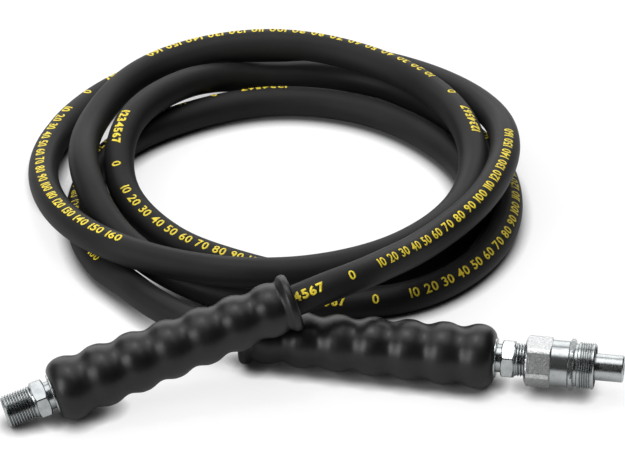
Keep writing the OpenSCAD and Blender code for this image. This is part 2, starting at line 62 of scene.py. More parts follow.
# Axes of the two grips: a point on the front face, and the way towards the hose
left_heading = math.radians(25.2)
left_lean = math.radians(14.1)
grip_len = 0.130
grip_front_d = 0.033
nose_round = 0.0086
free_from = 0.110
axis_z = grip_front_d / 2
left_way = Vector((
    math.cos(left_lean) * math.cos(left_heading),
    math.cos(left_lean) * math.sin(left_heading),
    math.sin(left_lean),
))
left_face = Vector((-0.1198, -0.0265, axis_z)) - nose_round * left_way
right_way = Vector((-1, 0, 0))
right_face = Vector((0.0884, 0.0314, axis_z))

# The coil's stations stand every 30 degrees: one row of radii and lifts is one turn.
coil_x, coil_y = -0.0394, 0.1744
first_angle, station_step = -15, 30
coil_radius = [
    0.110, 0.115, 0.125, 0.132, 0.135, 0.137, 0.136, 0.129, 0.121, 0.106, 0.097, 0.095,
    0.096, 0.098, 0.103, 0.108, 0.114, 0.124, 0.115, 0.108, 0.105, 0.101, 0.103, 0.115,
    0.118, 0.114, 0.109, 0.115, 0.110, 0.099, 0.095, 0.088, 0.077, 0.073, 0.081, 0.091,
    0.098, 0.097, 0.090, 0.087, 0.087, 0.090, 0.101, 0.111, 0.120,
]
coil_lift = [
    0.027, 0.021, 0.008, 0, 0, 0, 0, 0.009, 0.018, 0.018, 0.017, 0.017,
    0.017, 0.017, 0.017, 0.018, 0.020, 0.014, 0.014, 0.018, 0.010, 0.001, 0, 0,
    0, 0, 0, 0, 0.001, 0.015, 0.016, 0.007, 0.001, 0, 0, 0,
    0, 0, 0, 0, 0, 0, 0, 0, 0.001,
]
left_lead_points = [
    (0.001, 0.0325, 0.0412), (0.0155, 0.0465, 0.0405), (0.028, 0.0665, 0.036),
    (0.0405, 0.0905, 0.030),
]
right_lead_points = [
    (-0.1095, 0.0745, 0.003), (-0.0905, 0.0545, 0.006), (-0.0675, 0.0382, 0.008),
]


def station_point(i):
    angle = math.radians(first_angle + station_step * i)
    return Vector((
        coil_x + coil_radius[i] * math.cos(angle),
        coil_y + coil_radius[i] * math.sin(angle),
        hose_r + coil_lift[i],
    ))


route = (
    [left_face + free_from * left_way, left_face + grip_len * left_way]
    + [Vector((x, y, lift + hose_r)) for x, y, lift in left_lead_points]
    + [station_point(i) for i in range(len(coil_radius))]
    + [Vector((x, y, lift + hose_r)) for x, y, lift in right_lead_points]
    + [right_face + grip_len * right_way, right_face + free_from * right_way]
)


def route_slope(i):
    """Direction of the hose at a point of its route, evened out over uneven spacing."""
    if i <= 1:
        return left_way
    if i >= len(route) - 2:
        return -right_way
    before, after = route[i] - route[i - 1], route[i + 1] - route[i]
    return (before.normalized() * after.length + after.normalized() * before.length).normalized()


def smooth_route():
    """Points along the hose's centre line, about ring_gap apart."""
    points = []
    for i in range(len(route) - 1):
        start, end = route[i], route[i + 1]
        span = (end - start).length
        steps = math.ceil(span / ring_gap)
        for k in range(steps):
            t = k / steps
            point = (
                (2 * t**3 - 3 * t**2 + 1) * start
                + (t**3 - 2 * t**2 + t) * span * route_slope(i)
                + (3 * t**2 - 2 * t**3) * end
                + (t**3 - t**2) * span * route_slope(i + 1)
            )
            point.z = max(point.z, hose_r)
            points.append(point)
    return points + [route[-1]]


hose_path = smooth_route()
along = [0.0]
for before, after in zip(hose_path, hose_path[1:]):
    along.append(along[-1] + (after - before).length)
hose_length = along[-1]


def hose_frame(i):
    """Upward and leftward unit vectors, square to the hose, at one point of its path."""
    way = (hose_path[min(i + 1, len(hose_path) - 1)] - hose_path[max(i - 1, 0)]).normalized()
    left = Vector((0, 0, 1)).cross(way).normalized()
    return way.cross(left), left


hose_frames = [hose_frame(i) for i in range(len(hose_path))]


def add_mesh(name, points, faces):
    """New object from points and faces, shaded smooth."""
    mesh = bpy.data.meshes.new(name)
    mesh.from_pydata(points, [], faces)
    mesh.polygons.foreach_set("use_smooth", [True] * len(mesh.polygons))
    mesh.update()
    piece = bpy.data.objects.new(name, mesh)
    bpy.context.scene.collection.objects.link(piece)
    return piece


def dress(node, finish):
    """Gives a node of the frame its finish."""
    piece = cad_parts[node]
    piece.data.materials.clear()
    piece.data.materials.append(finish)


def hose_cover_mesh(name):
    """Round tube along the hose's path, with an attribute that runs along and round it."""
    points, lay = [], []
    for centre, (up, left), distance in zip(hose_path, hose_frames, along):
        for k in range(hose_sides):
            angle = 2 * math.pi * k / hose_sides
            points.append(centre + hose_r * (math.cos(angle) * up + math.sin(angle) * left))
            lay.append((hose_r * math.cos(angle), hose_r * math.sin(angle), distance))
    faces = [
        (a + k, a + following, a + hose_sides + following, a + hose_sides + k)
        for a in range(0, (len(hose_path) - 1) * hose_sides, hose_sides)
        for k, following in ((k, (k + 1) % hose_sides) for k in range(hose_sides))
    ]
    last = (len(hose_path) - 1) * hose_sides
    faces.append(tuple(reversed(range(hose_sides))))
    faces.append(tuple(range(last, last + hose_sides)))
    piece = add_mesh(name, points, faces)
    attribute = piece.data.attributes.new("hose_lay", "FLOAT_VECTOR", "POINT")
    attribute.data.foreach_set("vector", [value for vector in lay for value in vector])
    return piece


def new_finish(name, metallic, roughness, specular):
    """Material round one Principled shader, with the values that are the same all over."""
    finish = bpy.data.materials.new(name)
    finish.use_nodes = True
    shader = finish.node_tree.nodes["Principled BSDF"]
    shader.inputs["Metallic"].default_value = metallic
    shader.inputs["Roughness"].default_value = roughness
    shader.inputs["Specular IOR Level"].default_value = specular
    return finish, shader


def add_node(finish, kind, **inputs):
    """Node with the given sockets set, or linked where the value is another node's socket."""
    node = finish.node_tree.nodes.new(kind)
    for name, value in inputs.items():
        socket = node.inputs[name.replace("_", " ")]
        if isinstance(value, bpy.types.NodeSocket):
            finish.node_tree.links.new(value, socket)
        else:
            socket.default_value = value
    return node


def worked(finish, operation, first, second):
    """Sum or product of two sockets."""
    node = add_node(finish, "ShaderNodeMath", Value=first)
    node.operation = operation
    finish.node_tree.links.new(second, node.inputs[1])
    return node.outputs[0]


def grain(finish, scale, detail, stretch=(1, 1, 1), attribute=None):
    """Noise over the piece. Its scale is in waves a metre, and stretch scales each axis."""
    if attribute:
        place = add_node(finish, "ShaderNodeAttribute")
        place.attribute_name = attribute
        place = place.outputs["Vector"]
    else:
        place = add_node(finish, "ShaderNodeTexCoord").outputs["Object"]
    mapping = add_node(finish, "ShaderNodeMapping", Vector=place, Scale=stretch)
    wave = add_node(
        finish, "ShaderNodeTexNoise", Vector=mapping.outputs["Vector"], Scale=scale, Detail=detail
    )
    return wave.outputs["Fac"]


def spread(finish, value, low, high, start=0.3, end=0.7):
    """Value stretched from the range start to end over the range low to high."""
    mapped = add_node(finish, "ShaderNodeMapRange", Value=value)
    for name, number in (
        ("From Min", start), ("From Max", end), ("To Min", low), ("To Max", high)
    ):
        mapped.inputs[name].default_value = number
    return mapped.outputs["Result"]


def two_tone(finish, value, dark, light):
    """Colour between two tones, by a value from 0 to 1. A tone may be another node's socket."""
    mix = finish.node_tree.nodes.new("ShaderNodeMix")
    mix.data_type = "RGBA"
    finish.node_tree.links.new(value, mix.inputs[0])
    ends = [socket for socket in mix.inputs if socket.type == "RGBA"]
    for socket, tone in zip(ends, (dark, light)):
        if isinstance(tone, bpy.types.NodeSocket):
            finish.node_tree.links.new(tone, socket)
        else:
            socket.default_value = (*tone, 1)
    return next(socket for socket in mix.outputs if socket.type == "RGBA")


def raise_grain(finish, shader, heights, normal=None):
    """Chain of bumps into the shader's normal, each given as (height socket, depth in metres)."""
    for height, depth in heights:
        bump = add_node(finish, "ShaderNodeBump", Height=height, Distance=depth, Strength=1.0)
        if normal:
            finish.node_tree.links.new(normal, bump.inputs["Normal"])
        normal = bump.outputs["Normal"]
    finish.node_tree.links.new(normal, shader.inputs["Normal"])


def paint(finish, shader, colour, roughness=None):
    """Links a colour and, where it varies, a roughness into the shader."""
    finish.node_tree.links.new(colour, shader.inputs["Base Color"])
    if roughness:
        finish.node_tree.links.new(roughness, shader.inputs["Roughness"])


cover_dark = (0.009, 0.009, 0.009)
cover_light = (0.018, 0.018, 0.0175)
streak_share, streak_depth, fine_depth = 0.6, 0.00003, 0.000008


def cover_rubber():
    """Matt black cover, a little streaked along its length."""
    finish, shader = new_finish("cover_rubber", metallic=0.0, roughness=0.5, specular=0.16)
    streaks = grain(finish, scale=260, detail=4, stretch=(1, 1, 0.05), attribute="hose_lay")
    clouds = grain(finish, scale=22, detail=3)
    fine = grain(finish, scale=2600, detail=2)
    tone = add_node(finish, "ShaderNodeMath", Value=streaks)
    tone.operation = "MULTIPLY_ADD"
    tone.inputs[1].default_value = streak_share
    finish.node_tree.links.new(clouds, tone.inputs[2])
    shade = spread(finish, tone.outputs[0], 0, 1, start=0.55, end=1.05)
    paint(
        finish, shader,
        two_tone(finish, shade, cover_dark, cover_light),
        spread(finish, streaks, low=0.48, high=0.62),
    )
    raise_grain(finish, shader, [(streaks, streak_depth), (fine, fine_depth)])
    return finish


cover_finish = cover_rubber()
hose = hose_cover_mesh("hose_cover")
hose.data.materials.append(cover_finish)
for side in ("left", "right"):
    dress(side + "_hose_end", cover_finish)

# ---------------------------------------------------------------------------------------
# Printed numbers. Yellow ink rolled on to the cover along one side of the hose, in groups that
# come again about every half metre: a bold number, a nought and a row of plain tens.
# ---------------------------------------------------------------------------------------
numeral_height = 0.0052
numeral_gap = 0.0006
numeral_weld = numeral_height / 500
numeral_bold, numeral_bolder = 0.020, 0.040
word_gap = 0.0024
ink_lift, ink_sunk = 0.00006, 0.00010
slice_across, slice_along = 0.0007, 0.0015
group_starts = (0.010, 0.504, 0.989, 1.489, 1.959, 2.418)
nought_place, tens_place = 0.038, 0.057
bold_number = "1234567"
plain_tens = [str(10 * k) for k in range(1, 17)]
print_end = 0.030
rings_searched = 3

# Angle of the print from the top of the hose towards its left, at sixtieths of its length
print_turns = [
    (0, -40), (2, -36), (5, -14), (12, -15), (18, -5), (21, -20), (26, -16), (30, -38),
    (32.5, -45), (35, -38), (37, -24), (42, -14), (48, -14), (52, -26), (60, -22),
]


def print_turn(distance):
    """The print's angle round the hose at a distance along it, in radians."""
    place = distance / hose_length * print_turns[-1][0]
    for (a, low), (b, high) in zip(print_turns, print_turns[1:]):
        if place <= b:
            t = (place - a) / (b - a)
            return math.radians(low + (high - low) * t * t * (3 - 2 * t))
    return math.radians(print_turns[-1][1])


def on_hose(distance, across, lift):
    """Point on the hose's cover, at a distance along it and across from the print's line."""
    guess = int(min(max(distance / hose_length, 0), 1) * (len(hose_path) - 1))
    near = range(
        max(guess - rings_searched, 0), min(guess + rings_searched + 1, len(along) - 1)
    )
    low = min(near, key=lambda k: abs(along[k] + along[k + 1] - 2 * distance))
    t = (distance - along[low]) / (along[low + 1] - along[low])
    up = hose_frames[low][0].lerp(hose_frames[low + 1][0], t)
    left = hose_frames[low][1].lerp(hose_frames[low + 1][1], t)
    angle = print_turn(distance) + across / hose_r
    centre = hose_path[low].lerp(hose_path[low + 1], t)
    return centre + (hose_r + lift) * (math.cos(angle) * up + math.sin(angle) * left)


def sliced(sheet):
    """Cuts a flat sheet into strips, so that it can bend round the hose and along it."""
    for axis, step in ((0, slice_along), (1, slice_across)):
        low = min(v.co[axis] for v in sheet.verts)
        high = max(v.co[axis] for v in sheet.verts)
        normal = Vector((1, 0, 0)) if axis == 0 else Vector((0, 1, 0))
        for k in range(1, math.ceil((high - low) / step)):
            everything = list(sheet.verts) + list(sheet.edges) + list(sheet.faces)
            bmesh.ops.bisect_plane(
                sheet, geom=everything, plane_co=normal * (low + k * step), plane_no=normal
            )
    return sheet


def slab(sheet):
    """Points and faces of a flat sheet with a thickness: z is 0 below and 1 above."""
    bottom = sheet.faces[:]
    raised = bmesh.ops.extrude_face_region(sheet, geom=bottom)
    for v in raised["geom"]:
        if isinstance(v, bmesh.types.BMVert):
            v.co.z = 1
    bmesh.ops.recalc_face_normals(sheet, faces=sheet.faces)
    sheet.verts.index_update()
    points = [v.co.copy() for v in sheet.verts]
    faces = [[v.index for v in f.verts] for f in sheet.faces]
    sheet.free()
    return points, faces


def numeral(digit, bold):
    """One numeral, its lower left corner at the origin, with its width."""
    letter = bpy.data.curves.new("numeral", "FONT")
    letter.body = digit
    letter.offset = bold
    letter.resolution_u = 3
    holder = bpy.data.objects.new("numeral", letter)
    flat = bpy.data.meshes.new_from_object(holder)
    sheet = bmesh.new()
    sheet.from_mesh(flat)
    bpy.data.objects.remove(holder)
    bpy.data.curves.remove(letter)
    bpy.data.meshes.remove(flat)
    low = Vector([min(v.co[k] for v in sheet.verts) for k in range(3)])
    high = Vector([max(v.co[k] for v in sheet.verts) for k in range(3)])
    scale = numeral_height / (high.y - low.y)
    for v in sheet.verts:
        v.co = (v.co - low) * scale
    bmesh.ops.remove_doubles(sheet, verts=sheet.verts, dist=numeral_weld)
    return *slab(sliced(sheet)), (high.x - low.x) * scale


def printed_numbers(name):
    """All the groups of numbers, laid on the hose as one piece."""
    plain = {digit: numeral(digit, numeral_bold) for digit in "0123456789"}
    bold = {digit: numeral(digit, numeral_bolder) for digit in bold_number}
    points, faces = [], []
    for start in group_starts:
        words = [(bold, bold_number, start), (plain, "0", start + nought_place)]
        words += [(plain, word, None) for word in plain_tens]
        place = start + tens_place
        for marks, word, fixed in words:
            at = place if fixed is None else fixed
            for letter in word:
                shape, sides, width = marks[letter]
                if at + width < hose_length - print_end:
                    first = len(points)
                    for p in shape:
                        lift = ink_lift if p.z else -ink_sunk
                        points.append(on_hose(at + p.x, p.y - numeral_height / 2, lift))
                    faces += [[first + i for i in side] for side in sides]
                at += width + numeral_gap
            if fixed is None:
                place = at + word_gap
    return add_mesh(name, points, faces)


ink_full = (0.90, 0.71, 0.030)
ink_thin = (0.70, 0.54, 0.035)
ink_depth = 0.00002


def yellow_ink():
    """Slightly uneven ink, thin where the roller skipped."""
    finish, shader = new_finish("yellow_ink", metallic=0.0, roughness=0.5, specular=0.4)
    worn = grain(finish, scale=900, detail=3)
    paint(
        finish, shader,
        two_tone(finish, spread(finish, worn, 0, 1, start=0.35, end=0.6), ink_thin, ink_full),
        spread(finish, worn, low=0.42, high=0.6),
    )
    raise_grain(finish, shader, [(worn, ink_depth)])
    return finish


hose_print = printed_numbers("printed_numbers")
hose_print.data.materials.append(yellow_ink())
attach(hose_print, "hose")

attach(hose, "hose")
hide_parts("left_hose_lead", "hose_coil", "right_hose_lead")

# ---------------------------------------------------------------------------------------
# Wire braid and inner tube. Two braids of bright high-tensile wire hold the pressure, over
# a smooth grey tube. They show only if the grips are taken off.
# ---------------------------------------------------------------------------------------
wire_dark, wire_light = (0.30, 0.31, 0.32), (0.62, 0.63, 0.64)
tube_dark, tube_light = (0.085, 0.085, 0.090), (0.12, 0.12, 0.125)
braid_wires, braid_slant, braid_depth = 900, 0.95, 0.00015
die_line_depth = 0.00002


def braided_wire():
    """Fine wires crossing at a slant."""
    finish, shader = new_finish("braided_wire", metallic=1.0, roughness=0.35, specular=0.5)
    place = add_node(finish, "ShaderNodeTexCoord").outputs["Object"]
    heights = []
    for slant in (braid_slant, -braid_slant):
        lay = add_node(finish, "ShaderNodeMapping", Vector=place, Rotation=(0, 0, slant))
        wires = add_node(finish, "ShaderNodeTexWave", Vector=lay.outputs[0], Scale=braid_wires)
        heights.append((wires.outputs["Fac"], braid_depth))
    paint(finish, shader, two_tone(finish, heights[0][0], wire_dark, wire_light))
    raise_grain(finish, shader, heights)
    return finish


def tube_plastic():
    """Smooth extruded tube with faint die lines."""
    finish, shader = new_finish("tube_plastic", metallic=0.0, roughness=0.4, specular=0.5)
    lines = grain(finish, scale=700, detail=2, stretch=(0.05, 1, 1))
    paint(
        finish, shader,
        two_tone(finish, spread(finish, lines, 0, 1), tube_dark, tube_light),
        spread(finish, lines, low=0.35, high=0.45),
    )
    raise_grain(finish, shader, [(lines, die_line_depth)])
    return finish


wire_finish, tube_finish = braided_wire(), tube_plastic()
for side in ("left", "right"):
    dress(side + "_wire_braid", wire_finish)
    dress(side + "_inner_tube", tube_finish)

# ---------------------------------------------------------------------------------------
# End fittings. Each is turned from hexagon bar: a barbed tail inside the hose, a neck, the
# hexagon and a male taper thread, zinc plated with a clear bluish finish.
# ---------------------------------------------------------------------------------------
neck_r = 0.00725
neck_len = 0.0034
neck_hidden, neck_overlap = 0.003, 0.001
hex_af, hex_corner_d, hex_len, hex_chamfer = 0.0184, 0.0209, 0.007, 0.0011
thread_pitch = 0.001411
thread_depth = 0.00095
thread_len = 0.0158
thread_root_r, thread_tip_r = 0.0087, 0.00835
thread_lead, thread_run_out, thread_overlap = 0.0012, 1.6, 0.0005
port_r, port_depth, port_chamfer, port_cone = 0.0035, 0.016, 0.0006, 0.001
stem_bore_r, bore_start = 0.002, 0.0004
weld_gap, thin_face = 1e-6, 1e-8
hex_at = neck_len
thread_at = hex_at + hex_len
thread_end = thread_at + thread_len
stem_turns = {"left": 5, "right": -5}
turned_steps = 96
corner_slope = math.sqrt(3)
edge_soft = 0.00018

end_places = {
    "left": (
        Matrix.Translation(left_face)
        @ Matrix.Rotation(math.pi + left_heading, 4, "Z")
        @ Matrix.Rotation(left_lean, 4, "Y")
    ),
    "right": Matrix.Translation(right_face),
}


def turned(outline, steps=turned_steps):
    """Closed solid of revolution about +X, from an outline of (place along X, radius)."""
    shape = bmesh.new()
    rings = []
    for x, r in outline:
        if r == 0:
            rings.append([shape.verts.new((x, 0, 0))])
            continue
        rings.append([
            shape.verts.new((
                x,
                r * math.cos(2 * math.pi * k / steps),
                r * math.sin(2 * math.pi * k / steps),
            ))
            for k in range(steps)
        ])
    pairs = list(zip(rings, rings[1:]))
    if outline[0][1] and outline[-1][1]:
        pairs.append((rings[-1], rings[0]))
    for a, b in pairs:
        for k in range(steps):
            n = (k + 1) % steps
            if len(a) == 1 and len(b) == 1:
                continue
            corners = [a[k % len(a)], a[n % len(a)], b[n % len(b)], b[k % len(b)]]
            shape.faces.new(list(dict.fromkeys(corners)))
    bmesh.ops.recalc_face_normals(shape, faces=shape.faces)
    return shape


def cut_flats(shape, across_flats, turn):
    """Cuts six flats on a turned shape and closes each with one face."""
    for k in range(6):
        angle = math.radians(turn + 30 + 60 * k)
        normal = Vector((0, math.sin(angle), -math.cos(angle)))
        cut = bmesh.ops.bisect_plane(
            shape,
            geom=list(shape.verts) + list(shape.edges) + list(shape.faces),
            plane_co=normal * across_flats / 2,
            plane_no=normal,
            clear_outer=True,
        )
        rim = [e for e in cut["geom_cut"] if isinstance(e, bmesh.types.BMEdge)]
        bmesh.ops.edgeloop_fill(shape, edges=rim)
    bmesh.ops.recalc_face_normals(shape, faces=shape.faces)
    return shape


def hexagon(start, length, across_flats, corner_d, chamfer, turn, bore=0):
    """Hexagon with corners turned to a diameter and 30 degree chamfers at both ends."""
    run = chamfer * corner_slope
    r = corner_d / 2
    return cut_flats(
        turned([
            (start, bore), (start, r - run), (start + chamfer, r),
            (start + length - chamfer, r), (start + length, r - run), (start + length, bore),
        ]),
        across_flats,
        turn,
    )


# Places on one turn of a thread, as a share of the pitch, with the depth there
thread_form = [(0.13, 0.0), (0.44, 1.0), (0.56, 1.0), (0.87, 0.0)]


def form_depth(turn):
    """Depth of the thread form at a number of turns along it, from 0 to 1."""
    place = turn % 1
    (low, _), (floor_from, _), (floor_to, _), (high, _) = thread_form
    if floor_from <= place <= floor_to:
        return 1.0
    if place < floor_from:
        return max(0.0, (place - low) / (floor_from - low))
    return max(0.0, (high - place) / (high - floor_to))


def threaded(start, end, crest, pitch, depth, bore):
    """Threaded barrel about +X. crest(x) is its outer radius and depth(x) the thread's
    depth. bore is the outline of the hole in it, from the end face to the start face."""
    shape = bmesh.new()
    turns = math.ceil((end - start) / pitch) + 2
    columns = []
    for j in range(turned_steps):
        angle = 2 * math.pi * j / turned_steps
        column = []
        for k in range(turns * len(thread_form)):
            whole, part = divmod(k, len(thread_form))
            x = start + pitch * (whole - 1 + thread_form[part][0] + j / turned_steps)
            x = min(max(x, start), end)
            groove = form_depth((x - start) / pitch - j / turned_steps)
            r = crest(x) - depth(x) * groove
            column.append(shape.verts.new((x, r * math.cos(angle), r * math.sin(angle))))
        columns.append(column)
    size = len(columns[0])
    for j in range(turned_steps):
        shift = 0 if j < turned_steps - 1 else len(thread_form)
        following = columns[(j + 1) % turned_steps]
        for k in range(size - 1):
            if k + 1 + shift < size:
                a, b = columns[j][k], columns[j][k + 1]
                c, d = following[k + 1 + shift], following[k + shift]
                if (a.co - b.co).length + (c.co - d.co).length > thin_face:
                    shape.faces.new((a, b, c, d))
    bmesh.ops.remove_doubles(shape, verts=shape.verts, dist=weld_gap)
    loose = [v for v in shape.verts if not v.link_faces]
    bmesh.ops.delete(shape, geom=loose, context="VERTS")
    hole = turned_shell(bore)
    join(shape, hole)
    bmesh.ops.remove_doubles(shape, verts=shape.verts, dist=weld_gap)
    rims = [e for e in shape.edges if e.is_boundary]
    for place in (start, end):
        ring = [e for e in rims if all(abs(v.co.x - place) < weld_gap for v in e.verts)]
        bmesh.ops.bridge_loops(shape, edges=ring)
    bmesh.ops.recalc_face_normals(shape, faces=shape.faces)
    return shape


def turned_shell(outline):
    """Open surface of revolution about +X, without end faces."""
    shape = bmesh.new()
    rings = [
        [
            shape.verts.new((
                x,
                r * math.cos(2 * math.pi * k / turned_steps),
                r * math.sin(2 * math.pi * k / turned_steps),
            ))
            for k in range(turned_steps)
        ]
        for x, r in outline
    ]
    for a, b in zip(rings, rings[1:]):
        for k in range(turned_steps):
            n = (k + 1) % turned_steps
            shape.faces.new((a[k], a[n], b[n], b[k]))
    return shape


def join(shape, other):
    """Adds another shape's faces to a shape."""
    holder = bpy.data.meshes.new("joined")
    other.to_mesh(holder)
    other.free()
    shape.from_mesh(holder)
    bpy.data.meshes.remove(holder)
    return shape


def add_shape(name, shape, place, sharp=28):
    """Object from a shape drawn along +X, moved to its end of the hose. Edges that turn by
    more than sharp degrees stay crisp."""
    mesh = bpy.data.meshes.new(name)
    shape.to_mesh(mesh)
    shape.free()
    mesh.transform(place)
    mesh.polygons.foreach_set("use_smooth", [True] * len(mesh.polygons))
    mesh.set_sharp_from_angle(angle=math.radians(sharp))
    piece = bpy.data.objects.new(name, mesh)
    bpy.context.scene.collection.objects.link(piece)
    return piece


def thread_crest(x):
    """Outer radius of the taper thread, with its lead-in chamfer."""
    share = (x - thread_at) / (thread_len - thread_lead)
    taper = thread_root_r - (thread_root_r - thread_tip_r) * min(share, 1)
    lead = thread_tip_r - max(0.0, x - (thread_end - thread_lead))
    return min(taper, lead)


def thread_fade(x):
    """Depth of the taper thread: it runs out at the hexagon and into the chamfer."""
    run_out = min(1.0, max(0.0, (x - thread_at) / (thread_run_out * thread_pitch)))
    cut_away = max(0.0, thread_tip_r - thread_crest(x)) if x > thread_end - thread_lead else 0.0
    return max(0.0, thread_depth * run_out - cut_away)


zinc_dark, zinc_light = (0.32, 0.34, 0.345), (0.43, 0.45, 0.455)
# Painted shade in the grooves of threads: their colour darkens to this tone where ambient
# occlusion finds them covered.
groove_painted_shade, groove_shade_reach = (0.16, 0.168, 0.17), 0.0009
groove_shade_full_ao, groove_shade_none_ao = 0.30, 0.65
zinc_mark_depth, zinc_cloud_depth = 0.0000016, 0.0000012


def plated(name, dark, light, low, high, edge):
    """Turned steel, plain or plated: dark and light are its tones, low and high its roughness,
    and edge the rounding of its sharp edges, or None for threads, whose grooves get painted
    shade."""
    finish, shader = new_finish(name, metallic=1.0, roughness=low, specular=0.5)
    cloud = grain(finish, scale=260, detail=4)
    rough = grain(finish, scale=1500, detail=4)
    marks = grain(finish, scale=1800, detail=2, stretch=(1, 0.02, 0.02))
    colour = two_tone(finish, spread(finish, cloud, 0, 1), dark, light)
    if not edge:
        # Painted shade: grooves that ambient occlusion finds covered are darkened towards the
        # groove tone.
        groove_occlusion = add_node(finish, "ShaderNodeAmbientOcclusion", Distance=groove_shade_reach)
        unshaded = spread(finish, groove_occlusion.outputs["AO"], 0, 1, groove_shade_full_ao, groove_shade_none_ao)
        colour = two_tone(finish, unshaded, groove_painted_shade, colour)
    paint(finish, shader, colour, spread(finish, rough, low, high))
    rounded = add_node(finish, "ShaderNodeBevel", Radius=edge).outputs["Normal"] if edge else None
    raise_grain(
        finish, shader, [(rough, zinc_cloud_depth), (marks, zinc_mark_depth)], rounded
    )
    return finish


zinc_turned = plated("zinc_turned", zinc_dark, zinc_light, low=0.20, high=0.30, edge=edge_soft)
zinc_threaded = plated("zinc_threaded", zinc_dark, zinc_light, low=0.20, high=0.30, edge=None)

for side in ("left", "right"):
    body = hexagon(hex_at, hex_len, hex_af, hex_corner_d, hex_chamfer, stem_turns[side])
    join(body, turned([
        (-neck_hidden, 0), (-neck_hidden, neck_r),
        (hex_at + neck_overlap, neck_r), (hex_at + neck_overlap, 0),
    ]))
    join(body, threaded(
        thread_at - thread_overlap,
        thread_end,
        thread_crest,
        thread_pitch,
        thread_fade,
        [
            (thread_end, port_r + port_chamfer), (thread_end - port_chamfer, port_r),
            (thread_end - port_depth + port_cone, port_r), (thread_at - bore_start, stem_bore_r),
            (thread_at - thread_overlap, stem_bore_r),
        ],
    ))
    stem = add_shape(side + "_threaded_stem", body, end_places[side])
    stem.data.materials.append(zinc_threaded)
    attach(stem, "hose")
    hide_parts(side + "_stem")

# ---------------------------------------------------------------------------------------
# Ferrules. Steel sleeves crimped over the hose's ends inside the grips: only a narrow rim
# shows, bright against the rubber.
# ---------------------------------------------------------------------------------------
for side in ("left", "right"):
    dress(side + "_ferrule", zinc_turned)

# ---------------------------------------------------------------------------------------
# Strain-relief grips. Moulded black rubber, slipped over ferrule and hose: seven bulges for
# the fingers, a rounded front and a beaded rear rim.
# ---------------------------------------------------------------------------------------
grip_rear_d = 0.0278
bulges, valley_depth, valley_power = 7, 0.0019, 1.35
rim_d, rim_len, rim_round, rim_land = 0.0298, 0.004, 0.0022, 0.0010
flare_steps, flare_waves = 14, 5
rim_steps, nose_steps = 6, 18
waves_to_rim = bulges - 0.5
bulge_pitch = (grip_len - nose_round - rim_len) / waves_to_rim
grip_clearance = 0.0003
grip_bore_r, grip_seat_r, grip_seat_len = hose_r + grip_clearance, 0.0103, 0.035
mouth_len, mouth_flare = 0.008, 0.0022
wave_steps, grip_steps = 28, 112


def wave_r(turn):
    """Radius of the grip at a number of bulges behind the first."""
    taper = (grip_front_d - grip_rear_d) / 2 / (bulges - 1)
    dip = ((1 - math.cos(2 * math.pi * turn)) / 2) ** valley_power
    return grip_front_d / 2 - taper * turn - valley_depth * dip


def grip_outline():
    """Closed outline of the grip, from its front face backwards and out again."""
    rim_at = -grip_len + rim_round + rim_land
    points = [(0, grip_seat_r), (-grip_seat_len, grip_seat_r), (-grip_seat_len, grip_bore_r)]
    points += [(mouth_len - grip_len, grip_bore_r), (-grip_len, grip_bore_r + mouth_flare)]
    for k in range(rim_steps + 1):
        angle = math.radians(180 - 90 * k / rim_steps)
        points.append((
            -grip_len + rim_round + rim_round * math.cos(angle),
            rim_d / 2 - rim_round + rim_round * math.sin(angle),
        ))
    last = round(waves_to_rim * wave_steps) - flare_waves
    valley_at = -nose_round - last / wave_steps * bulge_pitch
    for k in range(flare_steps):
        t = k / flare_steps
        rise = 1 - t * t * (3 - 2 * t)
        valley = wave_r(last / wave_steps)
        points.append((rim_at + (valley_at - rim_at) * t, valley + (rim_d / 2 - valley) * rise))
    for k in range(last, 0, -1):
        points.append((-nose_round - k / wave_steps * bulge_pitch, wave_r(k / wave_steps)))
    for k in range(nose_steps):
        angle = math.radians(90 * k / nose_steps)
        points.append((
            -nose_round * (1 - math.sin(angle)),
            grip_seat_r + (grip_front_d / 2 - grip_seat_r) * math.cos(angle),
        ))
    return points


grip_dark, grip_light = (0.004, 0.004, 0.004), (0.009, 0.009, 0.0085)
mould_depth, satin_depth = 0.00010, 0.000012


def grip_rubber():
    """Satin black rubber with the soft grain of its mould."""
    finish, shader = new_finish("grip_rubber", metallic=0.0, roughness=0.4, specular=0.34)
    clouds = grain(finish, scale=60, detail=4)
    fine = grain(finish, scale=900, detail=3)
    paint(
        finish, shader,
        two_tone(finish, spread(finish, clouds, 0, 1), grip_dark, grip_light),
        spread(finish, clouds, low=0.35, high=0.43),
    )
    raise_grain(finish, shader, [(clouds, mould_depth), (fine, satin_depth)])
    return finish


rubber_finish = grip_rubber()
for side in ("left", "right"):
    moulded = turned(grip_outline(), grip_steps)
    grip = add_shape(side + "_ribbed_grip", moulded, end_places[side], sharp=40)
    grip.data.materials.append(rubber_finish)
    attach(grip, "hose")
    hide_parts(side + "_grip")

# ---------------------------------------------------------------------------------------
# Coupler body. Machined from hexagon bar, whose flats keep their drawn, pitted skin, with a
# turned sleeve and the spigot that the lock collar turns on.
# ---------------------------------------------------------------------------------------
flats_from, flats_to, flats_fade = 0.1052, 0.1169, 0.0005
skin_dark, skin_light = (0.34, 0.345, 0.35), (0.60, 0.605, 0.61)
pit_depth = 0.00018


def between(finish, value, start, end, fade):
    """1 where a value lies between two places, fading to 0 outside them."""
    rise = spread(finish, value, 0, 1, start - fade, start)
    fall = spread(finish, value, 1, 0, end, end + fade)
    return worked(finish, "MULTIPLY", rise, fall)


